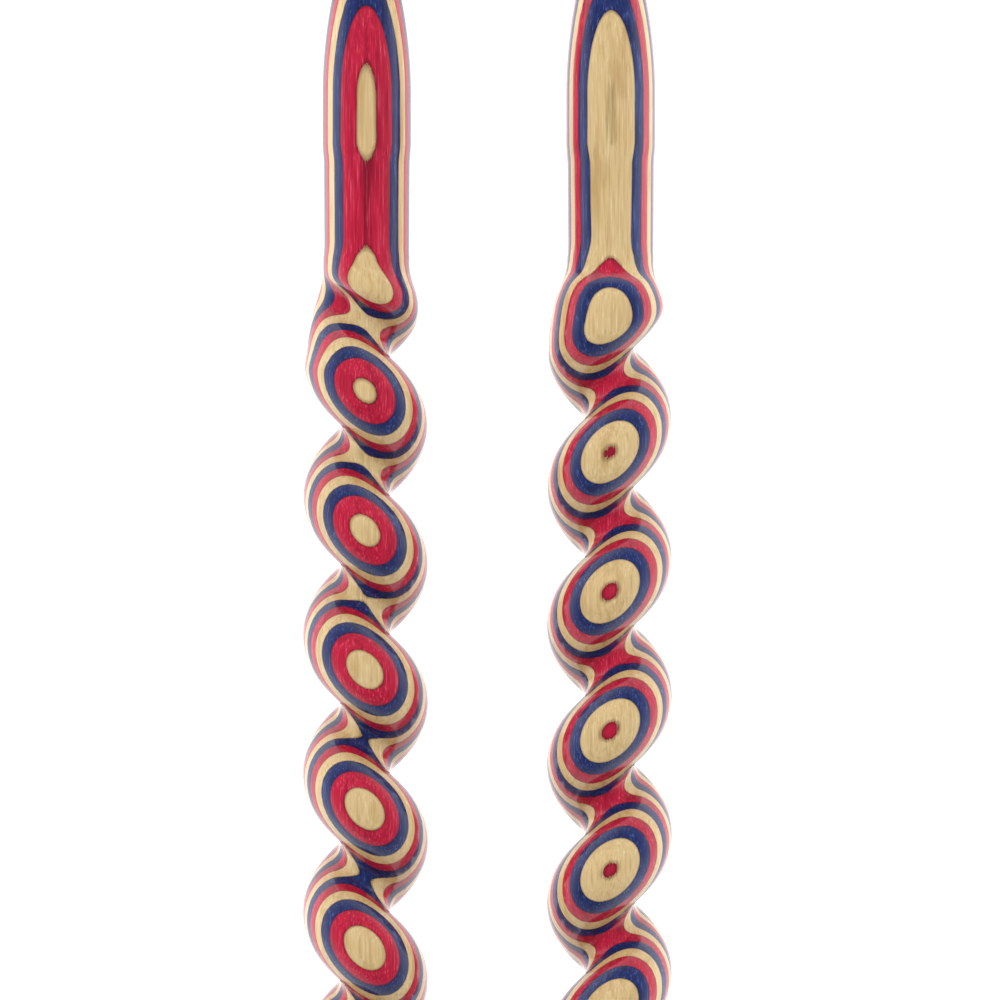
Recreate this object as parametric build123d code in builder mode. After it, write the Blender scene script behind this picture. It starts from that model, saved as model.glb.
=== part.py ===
"""A pair of double pointed knitting needles, made from laminated, dyed veneer.

The two needles lie side by side on a table, along Y, with the veneers lying flat.
The middle of each needle is carved into a single-start barley twist, left-handed on
one needle and right-handed on the other. Z is up and the table top is at Z = 0.
"""
from build123d import *
from math import asin, ceil, cos, pi, radians, sin, sqrt, tan
import os

# ---- the pair ------------------------------------------------------------------------
needle_length = 200.0  # tip to tip
needle_spacing = 27.1  # between the axes of the two needles

# ---- points and plain ends, all measured along the needle from its tip -----------------
gauge_diameter = 10.0  # the knitting size, held over a short parallel land
land_length = 5.2
tip_radius = 0.63
point_angle = 14.0  # half angle of the cone at the tip
ogive_radius = 57.0  # the long curve from the cone up to the gauge diameter
neck_diameter = 9.74  # just behind the land
neck_run = 2.6
waist_diameter = 9.62  # where the plain end meets the twist
plain_length = 43.1
point_drop = 0.45  # the plain ends are turned this far below the axis of the twist

# ---- shoulder between plain end and twist ---------------------------------------------
shoulder_angle = 22.8
shoulder_radius = 22.0
turning_stock = 0.2  # wood left outside the crests when the blank is turned
shoulder_cover = 0.2  # depth at which the shoulder cone starts inside the plain end

# ---- barley twist ----------------------------------------------------------------------
crest_diameter = 14.0
pitch = 15.4
groove_depth = 4.17
nose_radius = 2.2  # of the cutter, at the bottom of the groove
groove_start = 3.3  # from the foot of the shoulder to where the groove opens
plunge_offset = 1.3  # further in: where the plunge wall crosses the axis
plunge_slope = 1.25  # how steeply the groove runs out to the surface
plunge_limit = 7.5  # from the foot of the shoulder: no groove is left out past here
crest_up_left = 42.1  # from the middle of the needle to a crest that faces up
crest_up_right = 35.3

# ---- veneers -----------------------------------------------------------------------------
veneer = 0.78
stack_top_left = 6.64  # underside of the uppermost veneer, above the axis of the twist
stack_top_right = 6.93
colours_left = ("natural", "red", "blue")  # from the top down, repeating
colours_right = ("red", "natural", "blue")

# ---- worked out ----------------------------------------------------------------------------
half_length = needle_length / 2
gauge_radius = gauge_diameter / 2
crest_radius = crest_diameter / 2
root_radius = crest_radius - groove_depth
blank_radius = crest_radius + turning_stock
waist_radius = waist_diameter / 2
foot = half_length - plain_length
ridge_radius = ((pitch / 2) ** 2 + groove_depth**2) / (2 * groove_depth) - nose_radius
ridge_reach = ridge_radius * (pitch / 2) / (ridge_radius + nose_radius)
ridge_centre = crest_radius - ridge_radius
steps = 6  # points from the crest of a ridge to the bottom of the groove
crest_flat = 0.01  # the last of each crest and each saddle is cut off flat
ridges = ceil((foot + pitch) / pitch)  # on each side of the middle, and past the shoulders


# ---- the carved surface: where a level plane cuts the barley twist -----------------------
def twist_radius(s):
    """Radius of the twist at the distance s along the axis from a crest."""
    s = abs((s + pitch / 2) % pitch - pitch / 2)
    if s < ridge_reach:
        return ridge_centre + sqrt(ridge_radius**2 - s**2)
    return root_radius + nose_radius - sqrt(nose_radius**2 - (pitch / 2 - s) ** 2)


def ridge_half_width(height):
    """Distance along the axis from a crest to where the ridge sinks to this radius."""
    tangent_radius = twist_radius(ridge_reach)
    if abs(height) > tangent_radius:
        return sqrt(ridge_radius**2 - (abs(height) - ridge_centre) ** 2)
    return pitch / 2 - sqrt(nose_radius**2 - (root_radius + nose_radius - abs(height)) ** 2)


def outline_point(s, height, side, hand, crest_up):
    """A point of the outline at this height; side is 1 for +X and -1 for -X."""
    radius = max(twist_radius(s), abs(height))
    angle = asin(height / radius)
    azimuth = angle if side > 0 else pi - angle
    if side < 0 and height < -root_radius:
        azimuth -= 2 * pi  # both sides of a ridge under the groove count from below
    crest = crest_up - hand * pitch * (azimuth - pi / 2) / (2 * pi)
    return (side * sqrt(radius**2 - height**2), crest + s)


def island(height, hand, crest_up, number):
    """The closed outline of one ridge where the level is above the groove."""
    half = ridge_half_width(height)
    middle = number * pitch
    runs = [half * sin(pi * i / (2 * steps)) for i in range(1 - steps, steps)]
    half_turn = 0 if height > 0 else 0.5  # a level below the axis cuts the ridge half a turn on
    crest = crest_up + hand * pitch * half_turn + middle
    with BuildSketch(Plane.XY.offset(height), mode=Mode.PRIVATE) as outline:
        with BuildLine():
            for side in (1, -1):
                inner = [outline_point(s + middle, height, side, hand, crest_up) for s in runs]
                Spline((0, crest - half), *inner, (0, crest + half))
        make_face()
    return outline.sketch.face()


def band(height, hand, crest_up):
    """The outline of the whole twist where the level is below the groove."""
    nearest = crest_up % pitch
    runs = [pitch * i / (2 * steps) for i in range(-2 * steps * ridges, 2 * steps * ridges + 1)]
    right = [outline_point(s, height, 1, hand, nearest) for s in runs]
    left = [outline_point(s, height, -1, hand, nearest) for s in runs]
    with BuildSketch(Plane.XY.offset(height), mode=Mode.PRIVATE) as outline:
        with BuildLine():
            Polyline(*right, *reversed(left), close=True)
        make_face()
    return outline.sketch.face()


def layer(outline, low, high, low_reach, high_reach):
    """Ruled walls between the outlines of two levels.

    low and high are where the layer ends, low_reach and high_reach where its outlines are
    taken, just off the crest or the saddle between two ridges.
    """
    with BuildPart() as wood:
        loft([outline(low_reach).moved(Location((0, 0, low - low_reach))),
              outline(high_reach).moved(Location((0, 0, high - high_reach)))], ruled=True)
    return wood.part


def twist_layers(low, high, hand, crest_up):
    """The barley twist between two levels, as a list of solids."""
    low = max(low, -crest_radius + crest_flat)
    high = min(high, crest_radius - crest_flat)
    # the outline is one band between the saddles, and separate islands above and below
    levels = [low] + [c for c in (-root_radius, root_radius) if low < c < high] + [high]
    layers = []
    for bottom, top in zip(levels, levels[1:]):
        if abs(bottom + top) / 2 < root_radius:
            limit = root_radius - crest_flat
            reaches = (max(bottom, -limit), min(top, limit))
            layers.append(layer(lambda h: band(h, hand, crest_up), bottom, top, *reaches))
            continue
        limit = root_radius + crest_flat
        reaches = (max(bottom, limit), top) if bottom > 0 else (bottom, min(top, -limit))
        for number in range(-2 * ridges, 2 * ridges):
            if abs(crest_up + number * pitch) < foot + pitch / 2:
                layers.append(layer(lambda h: island(h, hand, crest_up, number), bottom, top, *reaches))
    return layers


# ---- the turned blank ----------------------------------------------------------------------
foot_radius = waist_radius - point_drop - shoulder_cover
shoulder_rise = shoulder_radius * (1 - cos(radians(shoulder_angle)))
shoulder_start_radius = blank_radius - shoulder_rise
shoulder_start = foot - (shoulder_start_radius - foot_radius) / tan(radians(shoulder_angle))
shoulder_end = shoulder_start - shoulder_radius * sin(radians(shoulder_angle))

with BuildPart() as barrel:
    with BuildSketch():
        with BuildLine():
            cone = Polyline((0, foot), (foot_radius, foot), (shoulder_start_radius, shoulder_start))
            shoulder = TangentArc(cone @ 1, (blank_radius, shoulder_end), tangent=cone % 1)
            Polyline(shoulder @ 1, (blank_radius, 0), (0, 0), (0, foot))
        make_face()
    revolve(axis=Axis.Y)
    mirror(about=Plane.XZ)

# ---- one plain end, from the foot of the shoulder to the tip ---------------------------------
tip_middle = (tip_radius * sin(radians(45)), half_length - tip_radius * (1 - cos(radians(45))))
tip_edge = (tip_radius * cos(radians(point_angle)), half_length - tip_radius * (1 - sin(radians(point_angle))))
cone_radius = gauge_radius - ogive_radius * (1 - cos(radians(point_angle)))
cone_end = tip_edge[1] - (cone_radius - tip_edge[0]) / tan(radians(point_angle))
land_end = cone_end - ogive_radius * sin(radians(point_angle))
land_start = land_end - land_length

with BuildPart() as plain_end:
    with BuildSketch():
        with BuildLine():
            ThreePointArc((0, half_length), tip_middle, tip_edge)
            point = Line(tip_edge, (cone_radius, cone_end))
            TangentArc(point @ 1, (gauge_radius, land_end), tangent=point % 1)
            land = Line((gauge_radius, land_end), (gauge_radius, land_start))
            neck = (neck_diameter / 2, land_start - neck_run)
            Polyline(land @ 1, neck, (waist_radius, foot), (0, foot), (0, half_length))
        make_face()
    revolve(axis=Axis.Y)


# ---- the wood that the cutter leaves, and the veneers cut out of it ------------------------
def uncut_wood(hand, crest_up):
    """What no groove reaches: both ends of the barrel, and the two plain ends."""
    start = radians(90) - hand * 2 * pi * (foot - groove_start - crest_up - pitch / 2) / pitch
    advance = Vector(-sin(start), 0, cos(start)) * hand  # the way the groove runs out
    wall = Plane((0, foot - groove_start - plunge_offset, 0), z_dir=Vector(0, 1, 0) - advance * plunge_slope)
    half_turn = radians(90) + hand * 2 * pi * crest_up / pitch
    across = Axis((0, 0, 0), (cos(half_turn), 0, sin(half_turn)))
    with BuildPart() as end:
        with BuildSketch(Plane.XZ.offset(plunge_limit - foot)):
            Circle(blank_radius)
        extrude(amount=-plunge_limit)
        split(bisect_by=wall, keep=Keep.TOP)
        add(barrel.part, mode=Mode.INTERSECT)
    with BuildPart() as wood:
        add(end.part)
        add(end.part.rotate(across, 180))
        for turn in (0, 180):
            add(plain_end.part.rotate(Axis.Z, turn).moved(Location((0, 0, -point_drop))))
    return wood.part


def needle(name, hand, crest_up, stack_top, colours, x):
    """Every veneer of one needle, from the top down, in place on the table."""
    uncut = uncut_wood(hand, crest_up)
    uncut_reach = uncut.bounding_box().max.Z
    place = Location((x, 0, crest_radius - crest_flat))
    count = ceil((stack_top + crest_radius) / veneer)
    plies = []
    for number in range(count + 1):
        top = crest_radius + 1 if number == 0 else stack_top - (number - 1) * veneer
        low = stack_top - number * veneer
        with BuildPart() as ply:
            for wood in twist_layers(low, top, hand, crest_up):
                add(wood)
            add(barrel.part, mode=Mode.INTERSECT)
            if low < uncut_reach and top > -uncut_reach:
                with BuildPart(mode=Mode.PRIVATE) as ends:
                    with Locations((0, 0, (low + top) / 2)):
                        Box(4 * blank_radius, needle_length + 2, top - low)
                    add(uncut, mode=Mode.INTERSECT)
                add(ends.part)
        piece = ply.part.moved(place)
        piece.label = f"{name}_veneer_{number + 1:02d}_{colours[number % 3]}"
        plies.append(piece)
    return plies


os.makedirs("parts", exist_ok=True)
left = needle("left", -1, crest_up_left, stack_top_left, colours_left, -needle_spacing / 2)
right = needle("right", 1, crest_up_right, stack_top_right, colours_right, needle_spacing / 2)
for piece in left + right:
    export_step(piece, f"parts/{piece.label}.step")
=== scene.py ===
"""A pair of laminated birch knitting needles with a barley twist grip, carved left-handed on
one needle and right-handed on the other, and lacquered. Lengths here are in millimetres, and
MM turns them to metres. Along a needle is Y, and the veneers lie flat."""
from math import ceil, cos, inf, pi, radians, sin, sqrt, tan

import bmesh
import bpy
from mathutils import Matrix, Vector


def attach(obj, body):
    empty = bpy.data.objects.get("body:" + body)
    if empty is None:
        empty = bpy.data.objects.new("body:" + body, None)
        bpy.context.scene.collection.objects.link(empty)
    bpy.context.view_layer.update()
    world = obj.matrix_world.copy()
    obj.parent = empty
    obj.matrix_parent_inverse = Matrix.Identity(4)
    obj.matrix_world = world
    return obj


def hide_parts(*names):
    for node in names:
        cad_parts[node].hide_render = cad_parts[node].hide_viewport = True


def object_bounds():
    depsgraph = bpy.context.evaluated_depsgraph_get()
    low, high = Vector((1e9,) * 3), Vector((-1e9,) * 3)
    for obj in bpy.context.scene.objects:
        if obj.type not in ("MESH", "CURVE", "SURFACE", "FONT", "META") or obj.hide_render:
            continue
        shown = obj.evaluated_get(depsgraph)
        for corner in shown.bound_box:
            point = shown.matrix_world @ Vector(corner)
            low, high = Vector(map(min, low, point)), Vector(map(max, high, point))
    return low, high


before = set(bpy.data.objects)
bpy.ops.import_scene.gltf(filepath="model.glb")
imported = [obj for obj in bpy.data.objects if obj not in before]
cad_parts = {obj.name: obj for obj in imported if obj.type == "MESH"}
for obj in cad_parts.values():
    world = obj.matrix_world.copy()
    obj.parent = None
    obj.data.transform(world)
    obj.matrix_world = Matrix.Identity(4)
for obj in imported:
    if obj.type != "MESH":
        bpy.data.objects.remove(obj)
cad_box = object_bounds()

MM = 0.001

# ---- the pair, as the frame gives it ---------------------------------------------------
axis_height = (cad_box[0][2] + cad_box[1][2]) / 2 / MM
half_length = (cad_box[1][1] - cad_box[0][1]) / 2 / MM
crest_radius = axis_height
needle_x = {"left": (cad_box[0][0] / MM) + crest_radius, "right": (cad_box[1][0] / MM) - crest_radius}

# ---- points and plain ends ---------------------------------------------------------------
gauge_radius = 5.0
land_length = 5.2
tip_radius = 0.63
point_angle = radians(14.0)
ogive_radius = 57.0
neck_radius = 4.85
neck_run = 2.6
waist_radius = 4.79
foot = 56.9  # from the middle of the needle to the foot of the shoulder
shaft_across = 0.15  # of the plain ends from the axis of the twist
centre_run = 8.0  # over which the centre moves from one axis to the other
spigot_taper = 0.2  # the plain end goes on into the barrel as a cone that narrows this much a mm
spigot_turn, spigot_close = 2.0, 0.25  # and from this depth closes faster, by the square

# ---- barley twist ---------------------------------------------------------------------------
pitch = 15.4
groove_depth = 4.22
nose_radius = 2.2
root_radius = crest_radius - groove_depth
ridge_radius = ((pitch / 2) ** 2 + groove_depth**2) / (2 * groove_depth) - nose_radius
ridge_reach = ridge_radius * (pitch / 2) / (ridge_radius + nose_radius)
groove_opens = 55.6  # where the last groove starts to bite, measured at its bottom
groove_run_in = 4.2  # and how much further in it is at its full depth
crest_wear = 0.08  # the crests near a shoulder are sanded this much lower
wear_start, wear_run = 10.0, 30.0  # from the middle of the needle, and the run to full wear

# ---- shoulder --------------------------------------------------------------------------------
shoulder_angle = radians(22.8)
shoulder_radius = 22.0
blank_radius = crest_radius + 0.2
foot_radius = 4.16
shoulder_start_radius = blank_radius - shoulder_radius * (1 - cos(shoulder_angle))
shoulder_start = foot - (shoulder_start_radius - foot_radius) / tan(shoulder_angle)
shoulder_end = shoulder_start - shoulder_radius * sin(shoulder_angle)
sanding_lead, sanding_run = 2.0, 4.0  # sanding begins this far short of shoulder_end
lift_start, lift_run = 1.5, 1.6  # inwards from the foot: where the shoulder is off centre
lift_end, lift_end_run = 3.4, 4.0  # and where it comes back
lift_lost = 0.7  # the share of the lift that is gone by then
foot_reach = 2.0  # past the foot, where the shoulder still shapes the wood
foot_blend = 1.2  # softness of the inside corner at the foot

# ---- veneers ----------------------------------------------------------------------------------
veneer = 0.78
around = 180  # faces round a needle
plain_step = 0.7  # from ring to ring on the plain ends
twist_step = 0.3  # and on the twist, which keeps this spacing
twist_reach = 1.0  # for a little past the foot
tip_rings, tip_turn = 7, 12  # rings on the ball of a point, and the degrees between them
weld_gap = 0.0001  # points closer than this become one
saw_gap = 0.0005  # a point this close to a saw cut lies in it
rim_gap = 0.01  # and an edge this close to one belongs to its rim

needles = {
    "left": {"hand": -1, "crest_up": 42.1, "stack_top": 6.64, "grain_slope": 0.0035,
             "shaft_drop": 0.33, "shoulder_lift": 0.0, "sanded_edge": 2.0,
             "colours": ("natural", "red", "blue")},
    "right": {"hand": 1, "crest_up": 35.3, "stack_top": 6.93, "grain_slope": -0.0012,
              "shaft_drop": 0.52, "shoulder_lift": 0.5, "sanded_edge": 0.8,
              "colours": ("red", "natural", "blue")},
}


# ---- turned and carved shape ------------------------------------------------------------------
def soft_min(a, b, reach):
    """The smaller of the two, rounded over where they are closer than reach."""
    if reach <= 0:
        return min(a, b)
    near = max(reach - abs(a - b), 0) / reach
    return min(a, b) - near * near * reach / 4


def soft_max(a, b, reach):
    return -soft_min(-a, -b, reach)


def twist_radius(s):
    """Radius of the twist at the distance s along the axis from a crest."""
    s = abs((s + pitch / 2) % pitch - pitch / 2)
    if s < ridge_reach:
        return crest_radius - ridge_radius + sqrt(ridge_radius**2 - s * s)
    return root_radius + nose_radius - sqrt(nose_radius**2 - (pitch / 2 - s) ** 2)


def blank_at(y):
    """Radius of the turned blank, where y is past the middle of the needle."""
    if y > shoulder_start:
        return foot_radius + (foot - y) * tan(shoulder_angle)
    if y > shoulder_end:
        return blank_radius - shoulder_radius + sqrt(shoulder_radius**2 - (y - shoulder_end) ** 2)
    return blank_radius


def shaft_at(y):
    """Radius of the plain end, from the foot of the shoulder to the tip."""
    cone_radius = gauge_radius - ogive_radius * (1 - cos(point_angle))
    tip_edge_radius = tip_radius * cos(point_angle)
    tip_edge = half_length - tip_radius * (1 - sin(point_angle))
    cone_end = tip_edge - (cone_radius - tip_edge_radius) / tan(point_angle)
    land_end = cone_end - ogive_radius * sin(point_angle)
    land_start = land_end - land_length
    if y > tip_edge:
        return sqrt(max(tip_radius**2 - (y - half_length + tip_radius) ** 2, 0))
    if y > cone_end:
        return tip_edge_radius + (tip_edge - y) * tan(point_angle)
    if y > land_end:
        return gauge_radius - ogive_radius + sqrt(ogive_radius**2 - (y - land_end) ** 2)
    if y > land_start:
        return gauge_radius
    if y > land_start - neck_run:
        share = (land_start - y) / neck_run
        return gauge_radius + (neck_radius - gauge_radius) * share * share * (3 - 2 * share)
    share = min((land_start - neck_run - y) / (land_start - neck_run - foot), 1)
    return neck_radius + (waist_radius - neck_radius) * share


def smooth_step(share):
    share = min(max(share, 0), 1)
    return share * share * (3 - 2 * share)


def off_centre(radius, away, azimuth):
    """Where a ray from the ring's centre meets a circle whose centre lies away from it."""
    along_ray = away[0] * cos(azimuth) + away[1] * sin(azimuth)
    reach = radius * radius - away[0] ** 2 - away[1] ** 2 + along_ray**2
    return along_ray + sqrt(max(reach, 0))


def barrel_at(y, azimuth, facts):
    """Radius of the carved barrel past the middle of the needle, about the axis of the twist."""
    s = y - facts["crest_up"] + facts["hand"] * pitch * (azimuth - pi / 2) / (2 * pi)
    from_groove = s % pitch - pitch / 2
    run_in = smooth_step((groove_opens - y + from_groove) / groove_run_in)
    crest = crest_radius - crest_wear * smooth_step((y - wear_start) / wear_run)
    ridge = crest - run_in * (crest_radius - twist_radius(s))
    # sanding takes off more towards the shoulders, and nothing on the twist itself
    sanding = facts["sanded_edge"] * smooth_step((y - shoulder_end + sanding_lead) / sanding_run)
    lift = facts["shoulder_lift"] * smooth_step((foot - lift_start - y) / lift_run)
    lift *= 1 - lift_lost * smooth_step((foot - lift_end - y) / lift_end_run)
    return soft_min(off_centre(blank_at(y), (0, lift), azimuth), ridge, sanding)


def place_on_needle(y, azimuth, facts):
    """Across and up from the axis of the twist, for one point of the surface."""
    turned = azimuth
    if y < 0:  # the far half is the near half, turned over about a crest
        turned = pi + facts["hand"] * 4 * pi * facts["crest_up"] / pitch - azimuth
    past = abs(y)
    shaft_centre = (shaft_across, -facts["shaft_drop"])
    share = smooth_step((past - foot - foot_reach) / centre_run)
    centre = (shaft_centre[0] * share, shaft_centre[1] * share)
    away = (shaft_centre[0] - centre[0], shaft_centre[1] - centre[1])
    inside = max(foot - past, 0)  # depth of this point in the barrel
    shaft = shaft_at(max(past, foot)) - inside * spigot_taper
    shaft -= max(inside - spigot_turn, 0) ** 2 * spigot_close
    radius = off_centre(shaft, away, azimuth) if shaft > 0 else 0
    if past < foot + foot_reach:
        radius = soft_max(radius, barrel_at(past, turned, facts), foot_blend)
    return centre[0] + radius * cos(azimuth), centre[1] + radius * sin(azimuth)


def rings():
    """Where the rings of a needle lie along it, from tip to tip."""
    twist_end = foot + twist_reach
    places = [half_length - tip_radius * (1 - cos(radians(tip_turn * i))) for i in range(tip_rings)]
    plain = ceil((places[-1] - foot) / plain_step)
    places += [places[-1] + (twist_end - places[-1]) * i / plain for i in range(1, plain + 1)]
    twisted = ceil(twist_end / twist_step)
    places += [twist_end * (1 - i / twisted) for i in range(1, twisted + 1)]
    return [-y for y in places] + places[-2::-1]


def whole_needle(side):
    """One needle as a closed skin: a sheet rolled into a tube, with its two ends drawn to points."""
    facts = needles[side]
    along = rings()
    skin = bmesh.new()
    bmesh.ops.create_grid(skin, x_segments=len(along) - 1, y_segments=around, size=1)
    for corner in skin.verts:
        y = along[round((corner.co.x + 1) / 2 * (len(along) - 1))]
        azimuth = -2 * pi * round((corner.co.y + 1) / 2 * around) / around
        across, up = place_on_needle(y, azimuth, facts)
        corner.co = ((needle_x[side] + across) * MM, y * MM, (axis_height + up) * MM)
    bmesh.ops.remove_doubles(skin, verts=skin.verts, dist=weld_gap * MM)
    bmesh.ops.recalc_face_normals(skin, faces=skin.faces)
    return skin


# ---- sawing the needle into its veneers ----------------------------------------------------------
def cut_into_veneers(side, body, looks):
    """A closed piece for each veneer of a needle, in place of its CAD node."""
    facts = needles[side]
    skin = whole_needle(side)
    names = sorted(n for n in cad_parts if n.startswith(side))
    tilt = (0, -facts["grain_slope"], 1)

    def level(number):
        """Height of a saw cut above the floor, in the middle of the needle."""
        return (axis_height + facts["stack_top"] - number * veneer) * MM

    def height(spot):
        """Height of a spot, measured along the slope of the grain."""
        return spot.z - facts["grain_slope"] * spot.y

    for number in range(len(names) - 1):
        bmesh.ops.bisect_plane(skin, geom=skin.verts[:] + skin.edges[:] + skin.faces[:],
                               dist=saw_gap * MM, plane_co=(0, 0, level(number)), plane_no=tilt)
    for number, name in enumerate(names):
        ply = skin.copy()
        top = level(number - 1) if number > 0 else inf
        low = level(number) if number < len(names) - 1 else -inf
        offcuts = [f for f in ply.faces if not low < height(f.calc_center_median()) < top]
        bmesh.ops.delete(ply, geom=offcuts, context="FACES")
        for face in ply.faces:
            face.smooth = True
        for plane in (low, top):
            rim = [e for e in ply.edges
                   if e.is_boundary and abs(height(e.verts[0].co) - plane) < rim_gap * MM]
            if rim:
                for edge in rim:
                    edge.smooth = False
                bmesh.ops.triangle_fill(ply, use_beauty=False, use_dissolve=False, edges=rim)
        bmesh.ops.recalc_face_normals(ply, faces=ply.faces)
        mesh = bpy.data.meshes.new(name + "_ply")
        ply.to_mesh(mesh)
        ply.free()
        piece = bpy.data.objects.new(name + "_ply", mesh)
        bpy.context.scene.collection.objects.link(piece)
        colour = name.rsplit("_", 1)[1]
        mesh.materials.append(looks[colour])
        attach(piece, body)
        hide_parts(name)
    skin.free()


# ---- materials ------------------------------------------------------------------------------------
def paint(code):
    """An sRGB hex colour as a linear one."""
    parts = [int(code[i:i + 2], 16) / 255 for i in (0, 2, 4)]
    return tuple(p / 12.92 if p <= 0.04045 else ((p + 0.055) / 1.055) ** 2.4 for p in parts) + (1,)


def add_node(tree, kind, inputs=(), **settings):
    """A node with its settings, and each input set to a value or linked to an output."""
    node = tree.nodes.new(kind)
    for name, value in settings.items():
        setattr(node, name, value)
    for socket, value in dict(inputs).items():
        if isinstance(value, bpy.types.NodeSocket):
            tree.links.new(value, node.inputs[socket])
        else:
            node.inputs[socket].default_value = value
    return node


# birch sapwood, and the same veneer dyed right through with red or blue
dyes = {
    "natural": {"wood": "DCC08C", "pale": "EBD5A8", "dark": "B8925A", "glue": "6E4A28"},
    "red": {"wood": "C2183C", "pale": "E2506A", "dark": "86092A", "glue": "4A0616"},
    "blue": {"wood": "1E2C66", "pale": "4C62A4", "dark": "10183C", "glue": "080C22"},
}
torn_fibre, torn_bundle = 0.09, 0.05  # how far fibres and bundles wander over a glue line
torn_edge = 0.004  # half the softness of that line
glue_soak = 0.07  # and how far the glue soaks in beside it


def dyed_birch(side, colour):
    """Lacquered birch veneer. Its fibres run along the needle as fine pale and dark streaks, it
    is torn a little into its neighbours at the glue lines, and the lacquer gives it clear white
    edges of reflected light."""
    facts = needles[side]
    order = facts["colours"]
    here = order.index(colour)
    above, below = order[here - 1], order[(here + 1) % len(order)]
    look = bpy.data.materials.new(f"lacquered_{colour}_birch_{side}")
    look.use_nodes = True
    tree = look.node_tree
    tree.nodes.clear()
    place = add_node(tree, "ShaderNodeTexCoord")

    def grain(across, along, detail, seed):
        """Noise drawn out along the needle, about 0 to 1; both sizes are in mm."""
        size = add_node(tree, "ShaderNodeMapping", {
            "Vector": place.outputs["Object"], "Location": (seed, seed / 3, -seed),
            "Scale": (1 / (across * MM), 1 / (along * MM), 1 / (across * MM))})
        return add_node(tree, "ShaderNodeTexNoise", {
            "Vector": size.outputs[0], "Scale": 1.0, "Detail": detail, "Roughness": 0.6}).outputs[0]

    def stain(wood, pattern, bare, full, strength, dye, how="MIX"):
        """Dye over the wood: none where the pattern is at bare, and this strong where it is at full."""
        share = add_node(tree, "ShaderNodeMapRange", {
            "Value": pattern, "From Min": bare, "From Max": full, "To Max": strength},
            interpolation_type="SMOOTHSTEP")
        return add_node(tree, "ShaderNodeMix", {0: share.outputs[0], 6: wood, 7: dye},
                        data_type="RGBA", blend_type=how).outputs[2]

    # depth below the top of this veneer, in mm
    spot = add_node(tree, "ShaderNodeSeparateXYZ", {0: place.outputs["Object"]})
    stack_top = add_node(tree, "ShaderNodeMath", {
        0: spot.outputs["Y"], 1: facts["grain_slope"] / MM, 2: axis_height + facts["stack_top"]},
        operation="MULTIPLY_ADD")
    under = add_node(tree, "ShaderNodeMath", {
        0: spot.outputs["Z"], 1: -1 / MM, 2: stack_top.outputs[0]}, operation="MULTIPLY_ADD")
    depth = add_node(tree, "ShaderNodeMath", {0: under.outputs[0], 1: veneer},
                     operation="FLOORED_MODULO")

    # single fibres, bundles of them, and the slow change from one year's growth to the next
    fine = grain(0.16, 5.0, 3.0, here + 1.0)
    broad = grain(0.7, 14.0, 2.0, here + 5.0)
    cloud = grain(3.2, 9.0, 2.0, here + 9.0)

    # the same depth with the glue lines torn, as much up as down
    level = add_node(tree, "ShaderNodeMath", {0: depth.outputs[0], 1: (torn_fibre + torn_bundle) / 2},
                     operation="SUBTRACT")
    bundled = add_node(tree, "ShaderNodeMath", {0: broad, 1: torn_bundle, 2: level.outputs[0]},
                       operation="MULTIPLY_ADD")
    ragged = add_node(tree, "ShaderNodeMath", {0: fine, 1: torn_fibre, 2: bundled.outputs[0]},
                      operation="MULTIPLY_ADD").outputs[0]

    def streaked(dye):
        """The dyed wood with its pale and dark streaks."""
        pale, dark = paint(dyes[dye]["pale"]), paint(dyes[dye]["dark"])
        wood = stain(paint(dyes[dye]["wood"]), fine, 0.52, 0.74, 1.0, pale)
        wood = stain(wood, fine, 0.48, 0.28, 0.55, dark)
        wood = stain(wood, broad, 0.52, 0.3, 0.45, dark)
        return stain(wood, cloud, 0.58, 0.75, 0.5, dark)

    wood = streaked(colour)
    wood = stain(wood, ragged, torn_edge, -torn_edge, 1.0, streaked(above))
    wood = stain(wood, ragged, veneer - torn_edge, veneer + torn_edge, 1.0, streaked(below))
    # the glue darkens the wood on each side of a glue line
    to_line = add_node(tree, "ShaderNodeMath", {0: ragged, 1: veneer / 2}, operation="PINGPONG")
    wood = stain(wood, to_line.outputs[0], glue_soak, 0.0, 0.6, paint(dyes[colour]["glue"]))
    # cut across, the fibres drink more lacquer and look darker
    facing = add_node(tree, "ShaderNodeSeparateXYZ", {0: place.outputs["Normal"]})
    cut = add_node(tree, "ShaderNodeMath", {0: facing.outputs["Y"]}, operation="ABSOLUTE")
    wood = stain(wood, cut.outputs[0], 0.25, 0.95, 0.5, paint(dyes[colour]["dark"]), "MULTIPLY")

    relief = add_node(tree, "ShaderNodeBump", {
        "Height": fine, "Strength": 0.25, "Distance": 0.03 * MM})
    rough = add_node(tree, "ShaderNodeMath", {0: fine, 1: 0.2, 2: 0.38}, operation="MULTIPLY_ADD")
    surface = add_node(tree, "ShaderNodeBsdfPrincipled", {
        "Base Color": wood, "Roughness": rough.outputs[0], "Normal": relief.outputs[0],
        "IOR": 1.45, "Specular IOR Level": 0.15,
        "Coat Weight": 1.0, "Coat Roughness": 0.1, "Coat IOR": 1.6})
    add_node(tree, "ShaderNodeOutputMaterial", {"Surface": surface.outputs[0]})
    return look


for side in needles:
    body = side + "_needle"
    looks = {colour: dyed_birch(side, colour) for colour in dyes}
    cut_into_veneers(side, body, looks)


# ---- floor, light and camera -----------------------------------------------------------------------
table_reach = 1.5  # metres from the middle to each edge


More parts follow.
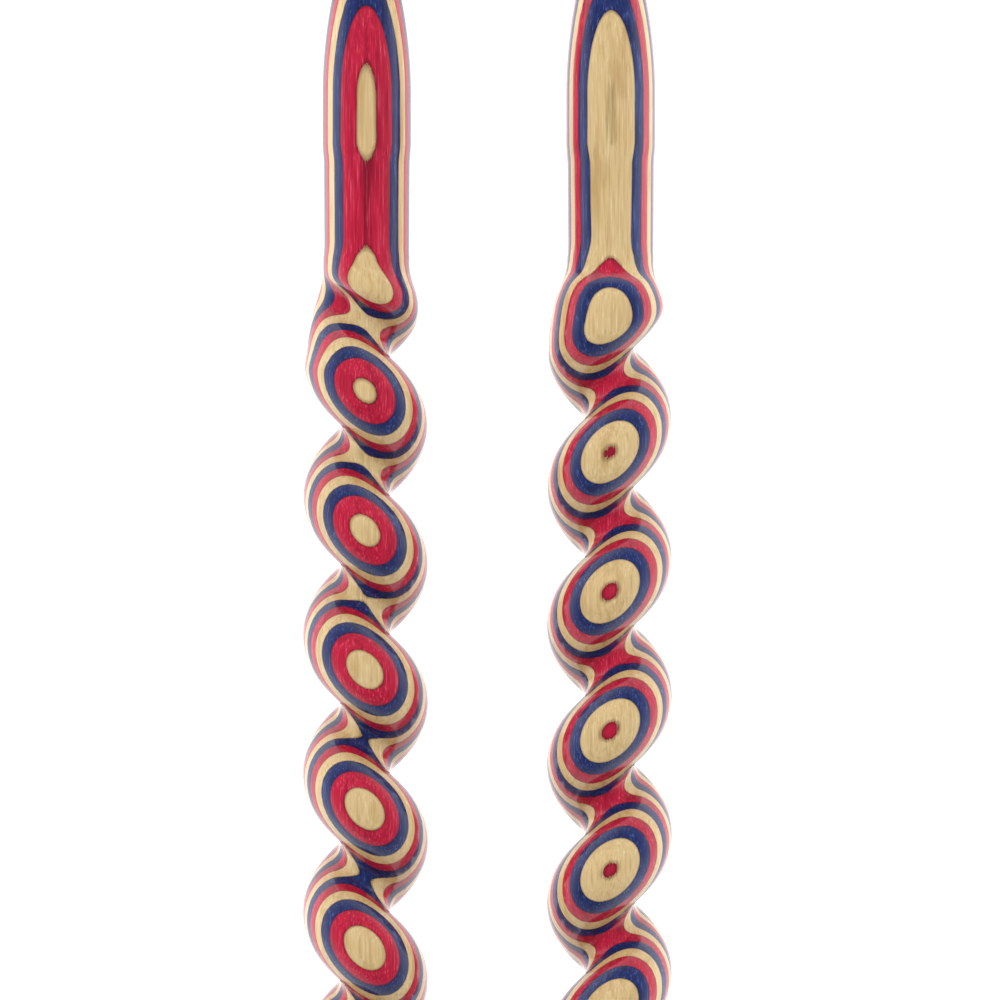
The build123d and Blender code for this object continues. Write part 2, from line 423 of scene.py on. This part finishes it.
def table():
    """A plain white table top."""
    bench = bmesh.new()
    bmesh.ops.create_grid(bench, x_segments=1, y_segments=1, size=table_reach)
    mesh = bpy.data.meshes.new("table_top")
    bench.to_mesh(mesh)
    bench.free()
    top = bpy.data.objects.new("table_top", mesh)
    bpy.context.scene.collection.objects.link(top)
    white = bpy.data.materials.new("white_table")
    white.use_nodes = True
    paper = white.node_tree.nodes["Principled BSDF"]
    paper.inputs["Base Color"].default_value = paint("C8C8C8")
    paper.inputs["Roughness"].default_value = 0.9
    paper.inputs["Emission Color"].default_value = paint("FFFFFF")
    paper.inputs["Emission Strength"].default_value = 1.15
    mesh.materials.append(white)


def soft_light(name, place, turn, size, power):
    """A window of even light, in metres, degrees and watts."""
    lamp = bpy.data.lights.new(name, "AREA")
    lamp.shape = "RECTANGLE"
    lamp.size, lamp.size_y = size
    lamp.energy = power
    light = bpy.data.objects.new(name, lamp)
    light.location = place
    light.rotation_euler = [radians(a) for a in turn]
    light.visible_glossy = False  # the lacquer mirrors the room only
    bpy.context.scene.collection.objects.link(light)


table()
soft_light("left_window", place=(-0.9, 0.1, 0.7), turn=(0, -52, 0), size=(0.9, 1.4), power=7)
soft_light("right_window", place=(0.9, 0.1, 0.7), turn=(0, 52, 0), size=(0.9, 1.4), power=5.5)
soft_light("top_window", place=(0.0, 0.7, 0.9), turn=(-38, 0, 0), size=(1.2, 0.6), power=5.5)

# a white room with an open dark ceiling, so that the lacquer is clear from above and white at its edges
world = bpy.data.worlds.new("white_room")
world.use_nodes = True
room = world.node_tree
towards = add_node(room, "ShaderNodeTexCoord")
rise = add_node(room, "ShaderNodeSeparateXYZ", {0: towards.outputs["Generated"]})
ceiling = add_node(room, "ShaderNodeMapRange", {
    "Value": rise.outputs["Z"], "From Min": 0.1, "From Max": 0.65, "To Min": 1.15, "To Max": 0.1},
    interpolation_type="SMOOTHSTEP")
room.links.new(ceiling.outputs[0], room.nodes["Background"].inputs["Strength"])
room.nodes["Background"].inputs["Color"].default_value = paint("FFFFFF")
bpy.context.scene.world = world

view_centre = (1.4, 30.0)  # the camera looks straight down, past the middle towards the points
view_width = 111.1
camera_height = 1200.0
lens = bpy.data.cameras.new("camera")
lens.sensor_width = 36.0
lens.lens = lens.sensor_width * (camera_height - axis_height) / view_width
lens.clip_end = 10.0
camera = bpy.data.objects.new("camera", lens)
camera.location = (view_centre[0] * MM, view_centre[1] * MM, camera_height * MM)
bpy.context.scene.collection.objects.link(camera)
bpy.context.scene.camera = camera
bpy.context.scene.view_settings.view_transform = "Standard"
